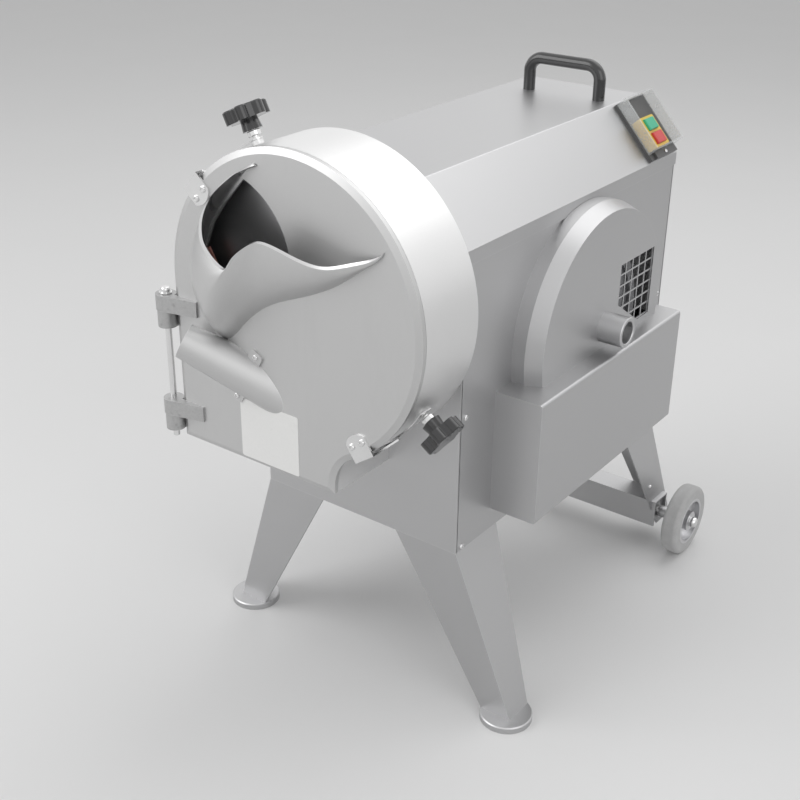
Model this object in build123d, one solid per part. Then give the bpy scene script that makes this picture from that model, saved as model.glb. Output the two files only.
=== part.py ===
from build123d import *
import math
import os

# Vegetable cutting machine, in millimetres. The model is laid out with the front plate of the
# housing at y = 0 and the door towards -Y; CENTRE_Y moves it so that the origin lies under its middle.
CENTRE_Y = 228.0

# Housing: a sheet-metal box with chamfered shoulders
HOUSE_HALF = 165.0
HOUSE_DEPTH = 565.0
BASE_Z = 261.0
EAVE_Z = 686.0
TOP_Z = 762.0
RIDGE_HALF = 97.0
SHEET = 2.0
FLANGE = 22.0
PANEL_SEAM = 1.5
COVER_LIP = 18.0
PAN_SHEET = 3.0

# Scroll-shaped cutting drum on the front of the housing
DRUM_X = -14.0
DRUM_Z = 604.5
DRUM_R = 200.0
DRUM_WALL = 3.0
DRUM_DEPTH = 117.0
TAIL_X = 52.0
TAIL_Z = 367.5
TAIL_FILLET = 60.0
RIM_FLANGE = 12.0

# Door: a shallow pan with a bevelled edge
DOOR_PLATE = 3.0
DOOR_RIM = 10.0
BEVEL_IN = 8.0
BEVEL_DEPTH = 4.0
DOOR_GAP = 0.4
DOOR_FACE = -DRUM_DEPTH
SEAM_Y = DOOR_FACE + DOOR_RIM
CASE_FRONT = SEAM_Y + DOOR_GAP

# Door hinge: two arms on one long pin, each resting on a fixed knuckle
PIN_X = -228.0
PIN_Y = -119.0
PIN_R = 4.5
PIN_BOTTOM = 364.0
BORE_CLEARANCE = 0.05
ARM_R = 14.0
ARM_HEIGHT = 22.0
ARM_TIP_X = -172.0
ARM_TIP_THICKNESS = 3.0
KNUCKLE_R = 13.0
KNUCKLE_HEIGHT = 24.0
KNUCKLE_TOPS = (554.0, 401.0)
KNUCKLE_GAP = 0.4
LUG_REAR_Y = -62.0
ACORN_R = 6.5
ACORN_HEIGHT = 9.0
WASHER = 1.5
LUG_GAP = 2.0
LUG_WEB = 8.0
LUG_SETBACK = 6.0

# Clamp knobs: radial screws through the drum wall, and hooked latches on the door
KNOB_ANGLES = {"upper": 117.0, "lower": -34.5}
LATCH_ANGLES = {"upper": 138.8, "lower": -54.5}
KNOB_Y = -60.0
STUD_R = 4.0
STUD_REACH = 16.0
KNOB_GAP = 0.6
BOSS_R = 8.0
BOSS_DEPTH = 12.0
COLLAR_R = 9.0
COLLAR_HEIGHT = 7.0
TRAVEL = 2.5
TONGUE_GAP = 0.3
TONGUE_THICKNESS = 2.0
TONGUE_WIDTH = 11.0
HOOK_WIDTH = 5.0
HOOK_CLEARANCE = 3.0
NECK_R = 13.0
NECK_HEIGHT = 14.0
NECK_OFFSET = 5.0
STAR_R = 29.0
STAR_HEIGHT = 17.0
STAR_LOBES = 6
LATCH_R = 184.0
LATCH_PLATE = 2.5
LATCH_WIDTH = 34.0
LATCH_HEIGHT = 26.0
LATCH_SCREW_SPACING = 19.0
LATCH_SCREW_R = 4.5
EAR_REACH = {"upper": 16.5, "lower": 62.0}
EAR_GAP = 0.6
STRAP_LIFT = 1.0
STRAP_WIDTH = 13.0
STRAP_EYE_R = 9.0
STRAP_FRONT = -112.0

# Feed scoop: a curved shell on the door, over an opening that is part of a circle
SCOOP_WALL = 2.0
SCOOP_RIM = 4.0
OPENING_X = -116.0
OPENING_Z = 656.0
OPENING_R = 108.0
OPENING_INSET = 4.0
OPENING_LOW = (-8.0, 628.0)
SILL_START = (-150.0, 655.0)
SILL_END = (-134.0, 628.0)
SILL_LIP = 4.0
SILL_THICKNESS = 2.0

# Scoop outline on the door (x, z), from the upper tip down the left side and out to the right tip
SCOOP_FOOT = [
    (-62, 781), (-92, 748), (-118, 719), (-138, 692), (-151, 662), (-157, 625), (-152, 580),
    (-128, 538), (-90, 566), (-45, 603), (10, 628), (66, 657), (105, 686), (130, 709),
]
# Free rim (x, reach from the door, z) above the same stations, and how far each section bows out
SCOOP_EDGE = [
    (-57, 4, 779), (-86, 15, 762), (-107, 28, 738), (-115, 40, 713), (-111, 48, 695), (-98, 54, 679), (-64, 60, 664),
    (-52, 58, 677), (-36, 52, 694), (-18, 44, 702), (20, 38, 693), (66, 30, 685), (100, 16, 693), (132, 3, 711),
]
SCOOP_BOW = [1, 2, 4, 7, 12, 19, 25, 23, 16, 12, 9, 6, 4, 1]

# Feed tube: a tapered spout that leans up and away from the door
TUBE_FOOT_X = -98.0
TUBE_FOOT_Z = 500.0
TUBE_AXIS = (-0.79, -0.43, 0.44)
TUBE_LENGTH = 83.0
TUBE_FOOT_R = 29.0
TUBE_MOUTH_R = 23.5
TUBE_WALL = 2.0
TAB_SPREAD = 41.0
TAB_SIZE = 20.0
TAB_THICKNESS = 3.0

# Cutting gear inside the drum
SHAFT_R = 15.0
SHAFT_CLEARANCE = 0.05
DISC_R = 186.0
DISC_THICKNESS = 6.0
DISC_FRONT = -97.0
DISC_HUB_R = 34.0
DISC_HUB_DEPTH = 22.0
BLADE_COUNT = 2
BLADE_LENGTH = 122.0
BLADE_WIDTH = 36.0
BLADE_THICKNESS = 2.5
BLADE_INNER_R = 48.0
BLADE_START = 20.0
BLADE_OVERHANG = 3.0
DISC_NUT = 12.0
SLOT_WIDTH = 14.0
EJECTOR_R = 176.0
EJECTOR_BLADES = 4
EJECTOR_THICKNESS = 6.0
EJECTOR_DEPTH = 72.0
EJECTOR_HUB_R = 40.0
EJECTOR_GAP = 6.0
BEARING_R = 42.0
BEARING_FLANGE_R = 62.0
BEARING_FLANGE = 8.0
BEARING_LENGTH = 34.0
BEARING_NOSE = 12.0
BOLT_R = 6.0
BOLT_HEAD = 5.0
END_GAP = 0.5

# Drive: motor, belt, cross shaft and right-angle gearbox
CROSS_Y = 292.3
CROSS_Z = 503.6
CROSS_R = 12.0
MOTOR_Y = 400.0
MOTOR_Z = 372.0
MOTOR_R = 68.0
MOTOR_LENGTH = 190.0
MOTOR_FRONT_X = 132.0
MOTOR_SHAFT_R = 9.5
MOTOR_FINS = 20
MOTOR_CAP = 16.0
MOTOR_FOOT = 14.0
FIN_DEPTH = 6.0
FIN_WIDTH = 3.0
CROSS_END = 18.0
PULLEY_RIM = 6.0
PULLEY_WEB = 8.0
BIG_PULLEY_R = 110.0
SMALL_PULLEY_R = 40.0
PULLEY_WIDTH = 18.0
PULLEY_X = 188.0
GROOVE_DEPTH = 9.0
BELT_WIDTH = 10.0
BELT_THICKNESS = 8.0
BELT_CLEARANCE = 0.3
GEARBOX_HALF = 52.0
GEARBOX_BOSS_R = 30.0
GEARBOX_BOSS = 12.0
GEARBOX_BORE = 36.0
GEARBOX_MARGIN = 12.0
GEARBOX_CORNER = 8.0
STAND_SHEET = 6.0
STAND_REAR = 34.0

# Round drive guard and side box on the right
GUARD_R = 175.0
GUARD_STRAIGHT = 20.0
GUARD_DEPTH = 43.0
GUARD_FACE_R = 166.5
GUARD_SHEET = 2.5
LIP_CLEARANCE = 0.3
HUB_TUBE_R = 22.0
HUB_TUBE_WALL = 6.0
HUB_TUBE_LENGTH = 37.0
GRILLE_Y = (330.0, 431.0)
GRILLE_Z = (480.0, 583.0)
GRILLE_MARGIN = 5.0
GRILLE_COLUMNS = 5
GRILLE_ROWS = 6
GRILLE_WIRE = 2.5
GRILLE_SHEET = 1.5
GRILLE_CUT = (66.0, 43.0)
BOX_WIDTH = 71.0
BOX_Y = (82.0, 487.0)
BOX_Z = (293.0, 471.0)
BOX_SHEET = 2.0
BOX_CORNER = 4.0

# Legs, feet, rear axle and wheels
LEG_SHEET = 3.0
LEG_TOP = 100.0
LEG_BOTTOM = 48.0
FRONT_SPREAD = 88.0
FRONT_SETBACK = 17.5
FOOT_R = 37.5
FOOT_HEIGHT = 10.0
REAR_SPREAD = 38.0
REAR_LEAN = 53.0
REAR_FOOT_Z = 40.0
AXLE_Y = 580.0
AXLE_Z = 60.0
AXLE_R = 6.0
WHEEL_R = AXLE_Z
TYRE_SHOULDER = 7.0
WHEEL_GAP = 0.3
RIM_WALL = 5.0
RIM_WEB = 10.0
SLEEVE_R = 10.0
NUT_R = 9.0
WHEEL_WIDTH = 28.0
WHEEL_X = 245.0
RIM_R = 40.0
HUB_R = 17.0
NUT_LENGTH = 11.0
BEAM_Y = (556.0, 600.0)
BEAM_Z = (40.0, 87.0)
LEG_SCREW_Y = 554.0
LEG_SCREW_Z = 115.0
FOOT_INSET = 15.0

# Carry handle and switch unit on the top cover
HANDLE_X = 10.0
HANDLE_Y = 486.0
HANDLE_SPACING = 119.0
HANDLE_HEIGHT = 58.0
HANDLE_R = 9.0
HANDLE_BEND = 21.0
SWITCH_Y = (478.0, 561.0)
SWITCH_S = (3.0, 101.0)
SWITCH_END_S = 91.0
SWITCH_END_Y = (490.0, 549.0)
SWITCH_END_HEIGHT = 9.0
SWITCH_FRAME_S = (39.0, 88.0)
SWITCH_FRAME_Y = (482.0, 524.0)
SWITCH_FRAME_TOP = 20.0
POCKET_FLOOR = 3.0
SWITCH_BASE = 5.0
SWITCH_WALL = 2.5
SWITCH_HEIGHT = 23.0
BUTTON_LENGTH = 18.0
BUTTON_WIDTH = 26.0
BUTTON_PROUD = 4.0
BUTTON_TRAVEL = 3.0
BUTTON_CLEARANCE = 0.4
SCREW_R = 4.0
SCREW_HEAD = 2.4

# Rear plate: slots and supply gland
VENT_ROWS = 6
VENT_PITCH = 20.0
VENT_LOW = 400.0
VENT_X = 62.0
VENT_LENGTH = 86.0
VENT_WIDTH = 8.0
GLAND_X = -110.0
GLAND_Z = 306.0
GLAND_R = 10.0
GLAND_REACH = 14.0


def block(x, y, z):
    """A box between two x, two y and two z values."""
    size = (x[1] - x[0], y[1] - y[0], z[1] - z[0])
    return Pos(x[0], y[0], z[0]) * Box(*size, align=(Align.MIN, Align.MIN, Align.MIN))


def rod(start, axis, radius, length):
    """A round bar from a point along an axis."""
    base = Plane(origin=start, z_dir=axis)
    return base * Cylinder(radius, length, align=(Align.CENTER, Align.CENTER, Align.MIN))


def polygon(points):
    return make_face(Polyline(*points, close=True))


def front_solid(sketch, y_front, y_back):
    """Extrude a sketch drawn in x and z between two depths."""
    return Plane.XZ.offset(-y_back) * extrude(sketch, y_back - y_front)


def side_solid(sketch, x_low, x_high):
    """Extrude a sketch drawn in y and z between two widths."""
    return Plane.YZ.offset(x_low) * extrude(sketch, x_high - x_low)


def radial_plane(angle, radius, y=KNOB_Y):
    """A plane on the drum at an angle, with its normal pointing outwards and its y axis along +Y."""
    out = Vector(math.cos(math.radians(angle)), 0, math.sin(math.radians(angle)))
    origin = Vector(DRUM_X, y, DRUM_Z) + out * radius
    return Plane(origin=origin, x_dir=Vector(0, 1, 0).cross(out), z_dir=out)


def screw(start, axis, radius=SCREW_R, head=SCREW_HEAD):
    """A domed screw head that sits on a surface, with a driver recess."""
    plane = Plane(origin=start, z_dir=axis)
    dome = Cylinder(radius, head, align=(Align.CENTER, Align.CENTER, Align.MIN))
    dome = fillet(dome.edges().sort_by(Axis.Z)[-1], head * 0.6)
    recess = Pos(0, 0, head * 0.6) * extrude(RegularPolygon(radius * 0.45, 6), head)
    return plane * (dome - recess)


def house_outline():
    return polygon([
        (-HOUSE_HALF, BASE_Z), (HOUSE_HALF, BASE_Z), (HOUSE_HALF, EAVE_Z),
        (RIDGE_HALF, TOP_Z), (-RIDGE_HALF, TOP_Z), (-HOUSE_HALF, EAVE_Z),
    ])


def scroll(inset=0.0, open_below=0.0):
    """Drum outline in x and z: a circle with a straight tail that lets the cuttings fall."""
    radius = DRUM_R - inset
    left = DRUM_X - radius
    right = TAIL_X - inset
    bottom = TAIL_Z + inset - open_below
    tail = polygon([(left, bottom), (right, bottom), (right, DRUM_Z), (left, DRUM_Z)])
    shape = Pos(DRUM_X, DRUM_Z) * Circle(radius) + tail
    inner = [v for v in shape.vertices() if abs(v.X - right) < 0.01 and v.Y > bottom + 1]
    return fillet(inner, TAIL_FILLET + inset)


def end_plate(y_outer, inward):
    """A housing end plate with folded side flanges; inward is +1 or -1 along y."""
    y_inner = y_outer + inward * SHEET
    plate = front_solid(house_outline(), min(y_outer, y_inner), max(y_outer, y_inner))
    flange_y = sorted((y_inner, y_outer + inward * FLANGE))
    for side in (-1, 1):
        flange_x = sorted((side * (HOUSE_HALF - SHEET), side * (HOUSE_HALF - 2 * SHEET)))
        plate += block(flange_x, flange_y, (BASE_Z + PAN_SHEET, EAVE_Z - 4))
    return plate


def front_plate():
    hole = rod((DRUM_X, -1, DRUM_Z), (0, 1, 0), BEARING_R, SHEET + 2)
    return end_plate(0.0, 1) - hole


def rear_plate():
    """Rear plate with pressed ventilation slots and a hole for the supply gland."""
    plate = end_plate(HOUSE_DEPTH, -1)
    back = HOUSE_DEPTH - SHEET - 1
    for row in range(VENT_ROWS):
        for side in (-1, 1):
            slot = Pos(side * VENT_X, VENT_LOW + row * VENT_PITCH) * SlotOverall(VENT_LENGTH, VENT_WIDTH)
            plate -= front_solid(slot, back, HOUSE_DEPTH + 1)
    return plate - rod((GLAND_X, back, GLAND_Z), (0, 1, 0), GLAND_R, SHEET + 2)


def base_pan():
    """Floor of the housing, with an upturned edge on all four sides."""
    x = HOUSE_HALF - 2 * SHEET
    y = (SHEET, HOUSE_DEPTH - SHEET)
    pan = block((-HOUSE_HALF + SHEET, HOUSE_HALF - SHEET), y, (BASE_Z, BASE_Z + PAN_SHEET))
    lip_z = (BASE_Z + PAN_SHEET, BASE_Z + 30)
    for y_pair in ((y[0], y[0] + SHEET), (y[1] - SHEET, y[1])):
        pan += block((-x, x), y_pair, lip_z)
    return pan


def side_panel(side):
    """A side sheet between the two end plates, tucked under the cover's lip."""
    x = sorted((side * HOUSE_HALF, side * (HOUSE_HALF - SHEET)))
    y = (SHEET + PANEL_SEAM, HOUSE_DEPTH - SHEET - PANEL_SEAM)
    panel = block(x, y, (BASE_Z, EAVE_Z))
    if side > 0:
        panel -= rod((x[0] - 1, CROSS_Y, CROSS_Z), (1, 0, 0), BEARING_R, SHEET + 2)
        panel -= rod((x[0] - 1, MOTOR_Y, MOTOR_Z), (1, 0, 0), MOTOR_SHAFT_R + 8, SHEET + 2)
    return panel


def top_cover():
    """Cover folded over both shoulders, with a lip that overlaps the side panels."""
    outer = offset(house_outline(), SHEET, kind=Kind.INTERSECTION)
    cover = front_solid(outer - house_outline(), 0, HOUSE_DEPTH)
    low = EAVE_Z - COVER_LIP
    cover -= block((-400, 400), (-1, HOUSE_DEPTH + 1), (0, low))
    ridges = [
        e for e in cover.edges().filter_by(Axis.Y)
        if e.center().Z > TOP_Z + SHEET - 0.1
    ]
    return fillet(ridges, 3.0)


def panel_screws():
    """Screws that hold the side panels to the flanges of the end plates."""
    heads = Part()
    for side in (-1, 1):
        for y in (12.5, HOUSE_DEPTH - 12.5):
            for z in (BASE_Z + 6, BASE_Z + 200):
                heads += screw((side * HOUSE_HALF, y, z), (side, 0, 0))
    return heads


def drum_casing():
    """Scroll wall, back plate and inner front flange, open at the bottom of the tail."""
    opening = 20.0
    wall = front_solid(scroll() - scroll(DRUM_WALL, opening), CASE_FRONT, -DRUM_WALL)
    back = front_solid(scroll(), -DRUM_WALL, 0)
    ring = scroll() - scroll(RIM_FLANGE, opening + RIM_FLANGE)
    wall += front_solid(ring, CASE_FRONT, CASE_FRONT + DRUM_WALL)
    casing = wall + back - rod((DRUM_X, -DRUM_WALL - 1, DRUM_Z), (0, 1, 0), BEARING_R, DRUM_WALL + 2)
    for angle in KNOB_ANGLES.values():
        casing -= radial_plane(angle, DRUM_R - BOSS_DEPTH) * Cylinder(
            BOSS_R, BOSS_DEPTH + 4, align=(Align.CENTER, Align.CENTER, Align.MIN))
    return casing


def tongue_low(name):
    """Radius of the underside of a latch tongue: the lower lies on the wall, the upper over its ear."""
    if name == "lower":
        return DRUM_R + TONGUE_GAP
    return DRUM_R + TONGUE_GAP + TONGUE_THICKNESS + EAR_GAP + LATCH_PLATE + STRAP_LIFT


def knob_boss(name):
    """Threaded boss that carries a clamp stud through the drum wall."""
    start = DRUM_R - BOSS_DEPTH
    top = tongue_low(name) - TONGUE_GAP
    boss = rod((0, 0, 0), (0, 0, 1), BOSS_R, top - start)
    hole = Cylinder(STUD_R + BORE_CLEARANCE, 4 * BOSS_DEPTH)
    return radial_plane(KNOB_ANGLES[name], start) * (boss - hole)


def collar_low(name):
    """Radius of the underside of the clamping collar, loosened by the travel of its thread."""
    return tongue_low(name) + TONGUE_THICKNESS + TRAVEL + 2 * TONGUE_GAP


def knob_start(name):
    return collar_low(name) + COLLAR_HEIGHT + KNOB_GAP


def clamp_stud(name):
    """Stud with its clamping collar."""
    length = knob_start(name) + NECK_OFFSET - BORE_CLEARANCE - DRUM_R + STUD_REACH
    stud = rod((0, 0, -STUD_REACH), (0, 0, 1), STUD_R, length)
    collar = rod((0, 0, collar_low(name) - DRUM_R), (0, 0, 1), COLLAR_R, COLLAR_HEIGHT)
    collar = chamfer(collar.edges().filter_by(GeomType.CIRCLE), 1.0)
    return radial_plane(KNOB_ANGLES[name], DRUM_R) * (stud + collar)


def star_knob(name):
    """Lobed hand knob with a neck, bored for the stud."""
    grip = Circle(STAR_R * 0.80)
    for lobe in range(STAR_LOBES):
        angle = math.radians(360 * lobe / STAR_LOBES)
        grip += Pos(STAR_R * 0.72 * math.cos(angle), STAR_R * 0.72 * math.sin(angle)) * Circle(STAR_R * 0.28)
    corners = [v for v in grip.vertices() if math.hypot(v.X, v.Y) < STAR_R * 0.9]
    grip = fillet(corners, 2.0)
    head = extrude(grip, STAR_HEIGHT)
    head = chamfer(head.faces().sort_by(Axis.Z)[-1].edges(), 1.5)
    neck = Cone(NECK_R, NECK_R * 0.86, NECK_HEIGHT, align=(Align.CENTER, Align.CENTER, Align.MIN))
    bore = Cylinder(STUD_R + BORE_CLEARANCE, NECK_OFFSET, align=(Align.CENTER, Align.CENTER, Align.MIN))
    knob = neck + Pos(0, 0, NECK_HEIGHT) * head - bore
    return radial_plane(KNOB_ANGLES[name], knob_start(name)) * knob


def arc_band(r_low, r_high, start, end, y_low, y_high):
    """Part of a ring about the drum axis, between two angles."""
    sector = [(0, 0)]
    steps = 4
    for i in range(steps + 1):
        angle = math.radians(start + (end - start) * i / steps)
        sector.append((400 * math.cos(angle), 400 * math.sin(angle)))
    ring = Circle(r_high) - Circle(r_low)
    return front_solid(Pos(DRUM_X, DRUM_Z) * (ring & polygon(sector)), y_low, y_high)


def along_rim(length):
    """Degrees around the drum for a length along its wall."""
    return math.degrees(length / DRUM_R)


def lower_tongue():
    """Strap riveted under the lower ear, with an open hook behind the stud."""
    knob = KNOB_ANGLES["lower"]
    low = tongue_low("lower")
    high = low + TONGUE_THICKNESS
    back = KNOB_Y - STUD_R - HOOK_CLEARANCE
    near = knob + along_rim(STUD_R + HOOK_CLEARANCE)
    far = near + along_rim(HOOK_WIDTH)
    start = LATCH_ANGLES["lower"] - along_rim(LATCH_WIDTH * 0.3)
    strap = arc_band(low, high, start, far, back - TONGUE_WIDTH, back)
    return strap + arc_band(low, high, near, far, back, KNOB_Y + STUD_R)


def upper_tongue():
    """Swinging strap on the upper stud; its bent end lies over the ear of the door."""
    knob = KNOB_ANGLES["upper"]
    ear = LATCH_ANGLES["upper"]
    low = tongue_low("upper")
    high = low + TONGUE_THICKNESS
    rear = KNOB_Y + STRAP_WIDTH / 2
    strap = arc_band(low, high, knob, ear + along_rim(STRAP_WIDTH / 2), rear - STRAP_WIDTH, rear)
    end = along_rim(STRAP_WIDTH / 2)
    strap += arc_band(low, high, ear - end, ear + end, STRAP_FRONT, rear)
    eye = arc_band(low, high, knob - along_rim(20), knob + along_rim(20), KNOB_Y - 20, KNOB_Y + 20)
    plane = radial_plane(knob, DRUM_R)
    strap += eye & (plane * Cylinder(STRAP_EYE_R, 4 * BOSS_DEPTH))
    return strap - plane * Cylinder(STUD_R + BORE_CLEARANCE, 4 * BOSS_DEPTH)


def ear_low():
    return DRUM_R + TONGUE_GAP + TONGUE_THICKNESS + EAR_GAP


def latch_bracket(name):
    """Plate on the door face, with an ear folded back over the drum wall."""
    angle = LATCH_ANGLES[name]
    rim = radial_plane(angle, 0, DOOR_FACE)
    high = ear_low() + LATCH_PLATE
    half = LATCH_WIDTH / 2
    shoulder = LATCH_R - LATCH_HEIGHT * 0.2
    inner = LATCH_R - LATCH_HEIGHT / 2
    # Sketch with x outwards from the drum axis and y along the rim
    outline = make_face([
        Line((high, -half), (high, half)).edge(), Line((high, half), (shoulder, half)).edge(),
        ThreePointArc((shoulder, half), (inner, 0), (shoulder, -half)).edge(),
        Line((shoulder, -half), (high, -half)).edge(),
    ])
    face = Plane(origin=rim.origin, x_dir=rim.z_dir, z_dir=(0, -1, 0))
    plate = face * extrude(outline, LATCH_PLATE)
    reach = EAR_REACH[name]
    ear = Pos(-half, -LATCH_PLATE, ear_low()) * Box(
        LATCH_WIDTH, reach, LATCH_PLATE, align=(Align.MIN, Align.MIN, Align.MIN))
    corners = ear.edges().filter_by(Axis.Z).sort_by(Axis.Y)[-2:]
    return plate + rim * fillet(corners, min(reach, LATCH_WIDTH) * 0.3)


def latch_screws():
    """Two screws in each latch plate."""
    heads = Part()
    for angle in LATCH_ANGLES.values():
        plane = radial_plane(angle, LATCH_R, DOOR_FACE - LATCH_PLATE)
        for side in (-1, 1):
            spot = plane.origin + plane.x_dir * side * LATCH_SCREW_SPACING / 2
            heads += screw(spot, (0, -1, 0), LATCH_SCREW_R)
    return heads


def latch_rivet():
    """Rivet through the lower ear and its strap."""
    y = KNOB_Y - STUD_R - HOOK_CLEARANCE - TONGUE_WIDTH / 2
    top = radial_plane(LATCH_ANGLES["lower"], ear_low() + LATCH_PLATE, y)
    return screw(top.origin, top.z_dir)


def tube_plane():
    return Plane(origin=(TUBE_FOOT_X, DOOR_FACE, TUBE_FOOT_Z), z_dir=TUBE_AXIS)


def tube_cone(inset, behind, ahead):
    """Tapered body of the feed tube, from behind the door plane to its mouth."""
    slope = (TUBE_FOOT_R - TUBE_MOUTH_R) / TUBE_LENGTH
    low = TUBE_FOOT_R - inset + slope * behind
    high = TUBE_MOUTH_R - inset - slope * ahead
    cone = Cone(low, high, behind + TUBE_LENGTH + ahead, align=(Align.CENTER, Align.CENTER, Align.MIN))
    return tube_plane() * (Pos(0, 0, -behind) * cone)


def feed_tube():
    """Feed spout with two screw tabs at its foot."""
    in_front = block((-400, 400), (-400, DOOR_FACE), (200, 900))
    shell = (tube_cone(0, 90, 0) - tube_cone(TUBE_WALL, 95, 5)) & in_front
    lean = math.degrees(math.atan2(TUBE_AXIS[2], TUBE_AXIS[0]))
    for side in (-1, 1):
        tab = Pos(0, side * TAB_SPREAD * 0.82) * Rectangle(TAB_SIZE, TAB_SIZE)
        tab = fillet(tab.vertices(), 5)
        tab = Pos(TUBE_FOOT_X + 10, TUBE_FOOT_Z - 5) * Rot(0, 0, lean) * tab
        shell += front_solid(tab, DOOR_FACE - TAB_THICKNESS, DOOR_FACE) - tube_cone(TUBE_WALL, 95, 5)
    return shell


def tube_screws():
    heads = Part()
    lean = math.atan2(TUBE_AXIS[2], TUBE_AXIS[0])
    for side in (-1, 1):
        reach = side * (TAB_SPREAD * 0.82 + 3)
        x = TUBE_FOOT_X + 10 - reach * math.sin(lean)
        z = TUBE_FOOT_Z - 5 + reach * math.cos(lean)
        heads += screw((x, DOOR_FACE - TAB_THICKNESS, z), (0, -1, 0))
    return heads


def curved_section(foot, edge, bow):
    """Closed section of the scoop sheet, from its foot on the door to its thicker free edge."""
    low = Vector(foot[0], DOOR_FACE, foot[1])
    high = Vector(edge[0], DOOR_FACE - edge[1], edge[2])
    chord = (high - low).normalized()
    away = Vector(0, -1, 0)
    out = (away - chord * away.dot(chord)).normalized()
    middle = (low + high) * 0.5 + out * bow
    along = Vector(high.X - low.X, 0, high.Z - low.Z).normalized()
    inner = [high - out * SCOOP_RIM, middle - out * SCOOP_WALL, low + along * SCOOP_WALL]
    return Wire([
        Spline(low, middle, high).edge(), Line(high, inner[0]).edge(),
        Spline(*inner).edge(), Line(inner[2], low).edge(),
    ])


def feed_scoop():
    """Curved feed shell, lofted through its stations and trimmed around the feed tube."""
    stations = zip(SCOOP_FOOT, SCOOP_EDGE, SCOOP_BOW)
    return Part() + Solid.make_loft([curved_section(*station) for station in stations]) - tube_cone(0, 90, 0)


def door_opening():
    """Feed opening: the part of a circle that lies inside the foot of the scoop."""
    outline = [(x + OPENING_INSET, z) for x, z in SCOOP_FOOT[:5]]
    outline += [SILL_START, SILL_END, OPENING_LOW, (OPENING_LOW[0] + OPENING_R, SCOOP_FOOT[0][1])]
    return (Pos(OPENING_X, OPENING_Z) * Circle(OPENING_R)) & polygon(outline)


def feed_sill():
    """Soft lip along the slanted lower left edge of the feed opening."""
    start = Vector(*SILL_START)
    run = (Vector(*SILL_END) - start).normalized()
    across = Vector(-run.Y, run.X) * SILL_LIP
    corners = [start - across, Vector(*SILL_END) - across, Vector(*SILL_END) + across, start + across]
    strip = polygon([(corner.X, corner.Y) for corner in corners])
    return front_solid(strip, DOOR_FACE + DOOR_PLATE, DOOR_FACE + DOOR_PLATE + SILL_THICKNESS)


def door_pan():
    """Door plate with a bevelled rim, cut for the scoop and the feed tube."""
    body = front_solid(scroll(), DOOR_FACE, SEAM_Y)
    front = body.faces().sort_by(Axis.Y)[0]
    body = chamfer(front.edges(), BEVEL_IN, BEVEL_DEPTH, reference=front)
    body -= front_solid(scroll(BEVEL_IN + 1), DOOR_FACE + DOOR_PLATE, SEAM_Y)
    body -= front_solid(scroll(DOOR_PLATE), DOOR_FACE + DOOR_PLATE + BEVEL_DEPTH, SEAM_Y)
    body -= front_solid(door_opening(), DOOR_FACE - 1, SEAM_Y)
    return body - tube_cone(TUBE_WALL, 95, 0)


def door_gasket():
    """Soft ring that seats between the door and the flange of the drum."""
    ring = scroll(DOOR_PLATE) - scroll(BEVEL_IN + 1)
    return front_solid(ring, DOOR_FACE + DOOR_PLATE + BEVEL_DEPTH, SEAM_Y)


def hinge_arm(top_of_knuckle):
    """Cast arm with a boss around the pin and a wedge along the door face."""
    bottom = top_of_knuckle + KNUCKLE_GAP
    tip_y = DOOR_FACE - ARM_TIP_THICKNESS
    wedge = polygon([(PIN_X, PIN_Y - ARM_R), (ARM_TIP_X, tip_y), (ARM_TIP_X, DOOR_FACE), (PIN_X, DOOR_FACE)])
    plan = wedge + Pos(PIN_X, PIN_Y) * Circle(ARM_R) - Pos(PIN_X, PIN_Y) * Circle(PIN_R + BORE_CLEARANCE)
    return Pos(0, 0, bottom) * extrude(plan, ARM_HEIGHT)


def hinge_knuckle(top):
    """Fixed knuckle with a lug that runs back to a pad on the drum wall."""
    z = (top - KNUCKLE_HEIGHT, top)
    wall_x = DRUM_X - DRUM_R
    knuckle = rod((PIN_X, PIN_Y, z[0]), (0, 0, 1), KNUCKLE_R, KNUCKLE_HEIGHT)
    knuckle += block((wall_x - LUG_GAP - LUG_WEB, wall_x - LUG_GAP), (PIN_Y, LUG_REAR_Y), z)
    knuckle += block((wall_x - LUG_GAP, wall_x), (CASE_FRONT + LUG_SETBACK, LUG_REAR_Y), z)
    return knuckle - rod((PIN_X, PIN_Y, z[0] - 1), (0, 0, 1), PIN_R + BORE_CLEARANCE, KNUCKLE_HEIGHT + 2)


def pin_top():
    return KNUCKLE_TOPS[0] + KNUCKLE_GAP + ARM_HEIGHT + ACORN_HEIGHT / 2


def hinge_pin():
    pin = rod((PIN_X, PIN_Y, PIN_BOTTOM), (0, 0, 1), PIN_R, pin_top() - PIN_BOTTOM)
    return chamfer(pin.edges().filter_by(GeomType.CIRCLE), PIN_R * 0.3)


def pin_nut():
    """Acorn nut and washer on top of the hinge pin."""
    z = KNUCKLE_TOPS[0] + KNUCKLE_GAP + ARM_HEIGHT + KNUCKLE_GAP
    nut = rod((PIN_X, PIN_Y, z), (0, 0, 1), ACORN_R, ACORN_HEIGHT)
    nut = fillet(nut.edges().sort_by(Axis.Z)[-1], ACORN_R * 0.6)
    nut += rod((PIN_X, PIN_Y, z), (0, 0, 1), ACORN_R * 1.35, WASHER)
    return nut - rod((PIN_X, PIN_Y, z - 1), (0, 0, 1), PIN_R + BORE_CLEARANCE, pin_top() - z + 1)


def shaft_ring(radius, y_low, y_high):
    """A ring around the main shaft."""
    ring = rod((DRUM_X, y_low, DRUM_Z), (0, 1, 0), radius, y_high - y_low)
    return ring - rod((DRUM_X, y_low - 1, DRUM_Z), (0, 1, 0), SHAFT_R + SHAFT_CLEARANCE, y_high - y_low + 2)


def gearbox_front():
    return CROSS_Y - GEARBOX_HALF - GEARBOX_BOSS


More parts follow.
